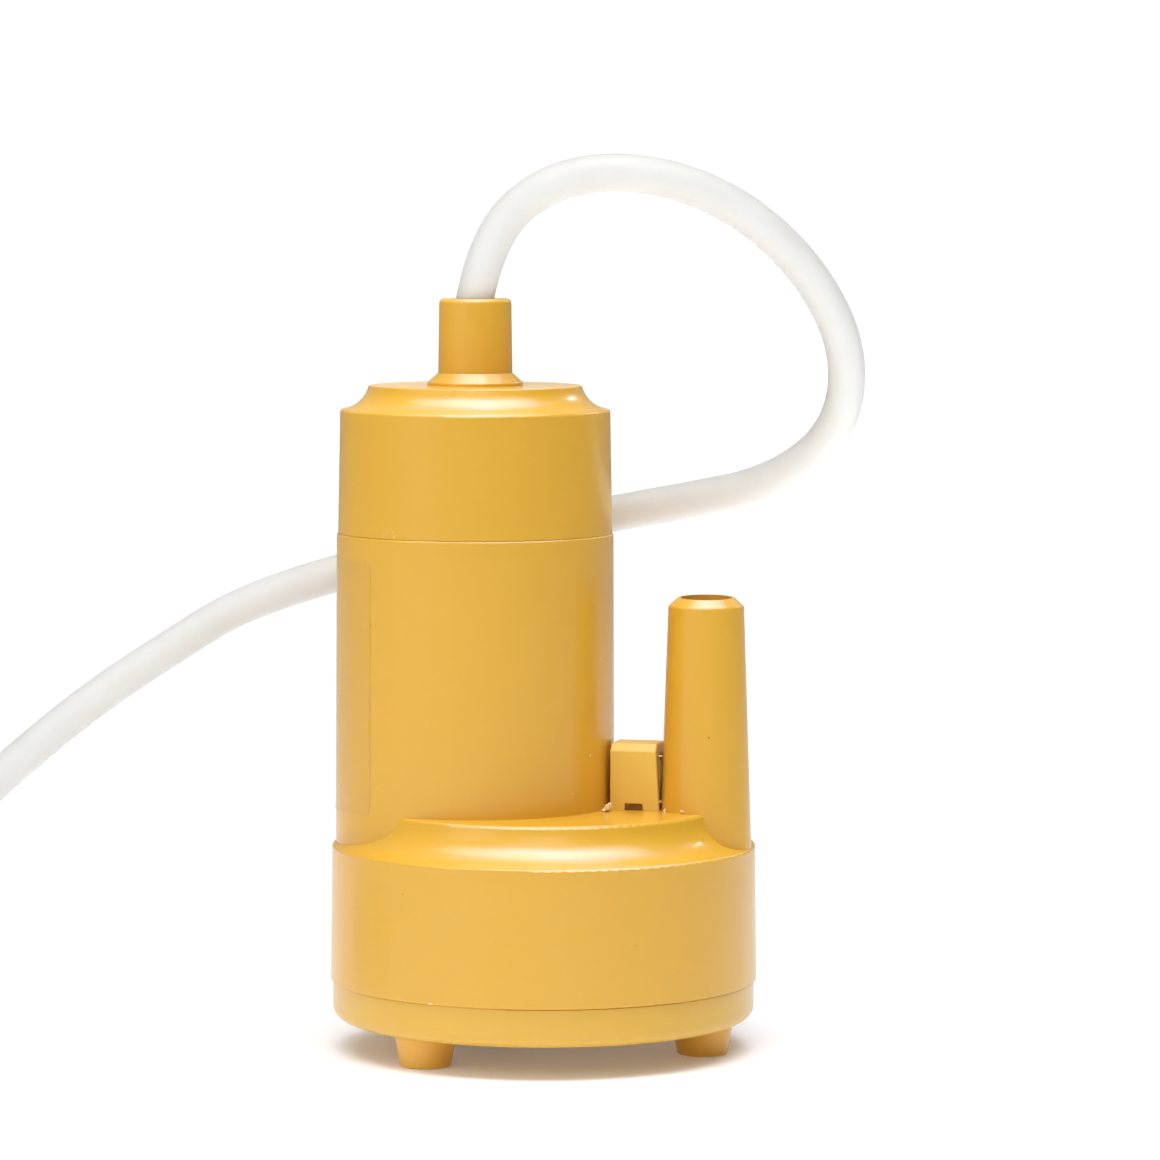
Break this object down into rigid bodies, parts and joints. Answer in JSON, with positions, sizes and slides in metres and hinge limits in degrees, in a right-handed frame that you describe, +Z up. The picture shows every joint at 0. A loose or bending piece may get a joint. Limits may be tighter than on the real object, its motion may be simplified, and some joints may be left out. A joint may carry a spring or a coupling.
{
  "type": "submersible pump",
  "caption": "Small upright submersible water pump with an offset round motor housing, a round base on feet, a tapered hose tail, a vent block and a supply cable.",
  "frame": {"origin": "centre of the round base, on the floor that the three feet stand on", "axes": "+Z up along the motor axis and the hose tail, +X from the motor axis towards the hose tail"},
  "size_m": [0.1963, 0.0784, 0.1177],
  "materials": {
    "yellow_body": "moulded, semi-gloss ochre yellow",
    "yellow_cover": "moulded, semi-gloss ochre yellow",
    "yellow_cap": "moulded, semi-gloss ochre yellow",
    "yellow_vent": "moulded, semi-gloss ochre yellow",
    "yellow_inner": "moulded grid",
    "seal_rubber": "matt moulded rubber",
    "cable_jacket": "soft off-white PVC",
    "nylon": "natural nylon",
    "steel": "zinc-plated pressed steel",
    "ground_steel": "ground stainless steel",
    "laminated_steel": "stacked laminations",
    "bronze": "sintered bronze",
    "copper": "bare copper",
    "enamelled_copper": "enamelled copper wire",
    "ferrite": "sintered ferrite",
    "carbon": "graphite brush",
    "ceramic_disc": "dipped ceramic disc",
    "lead_red": "wire insulation",
    "lead_black": "wire insulation",
    "core_brown": "wire insulation",
    "core_blue": "wire insulation",
    "impeller_plastic": "moulded black",
    "clear_film": "clear self-adhesive film, unprinted"
  },
  "bodies": {
    "pump": {"pump_body": "yellow_body", "bottom_cover": "yellow_cover", "inlet_grid": "yellow_inner", "cable_cap": "yellow_cap", "vent_cover": "yellow_vent", "base_seal_ring": "seal_rubber", "cap_seal_ring": "seal_rubber", "neck_grommet": "seal_rubber", "front_motor_ring": "seal_rubber", "rear_motor_ring": "seal_rubber", "shaft_seal": "seal_rubber", "cable_inner": "cable_jacket", "cable_clamp": "nylon", "motor_can": "steel", "motor_end_bell": "nylon", "front_bush": "bronze", "rear_bush": "bronze", "field_magnets": "ferrite", "brushes": "carbon", "brush_arms": "bronze", "motor_tabs": "bronze", "suppression_capacitor": "ceramic_disc", "suppression_chokes": "ferrite", "lead_a": "lead_red", "lead_b": "lead_black", "seal_spring": "ground_steel", "seal_retainer": "bronze", "vent_seat": "seal_rubber", "label_film": "clear_film", "cable": "cable_jacket", "cable_coil": "cable_jacket", "core_a": "core_brown", "core_b": "core_blue", "core_tips": "copper"},
    "rotor": {"motor_shaft": "ground_steel", "armature_core": "laminated_steel", "armature_windings": "enamelled_copper", "commutator": "copper", "impeller": "impeller_plastic", "thrust_washers": "nylon"},
    "vent_ball": {"vent_ball": "ground_steel"}
  },
  "joints": [
    {"name": "rotor_spin", "type": "hinge", "parent": "pump", "child": "rotor", "pos_m": [-0.0093, 0, 0.03], "axis": [0, 0, 1], "continuous": true},
    {"name": "vent_ball_lift", "type": "slide", "parent": "pump", "child": "vent_ball", "axis": [0, 0, 1], "range_m": [0, 0.0022]}
  ]
}
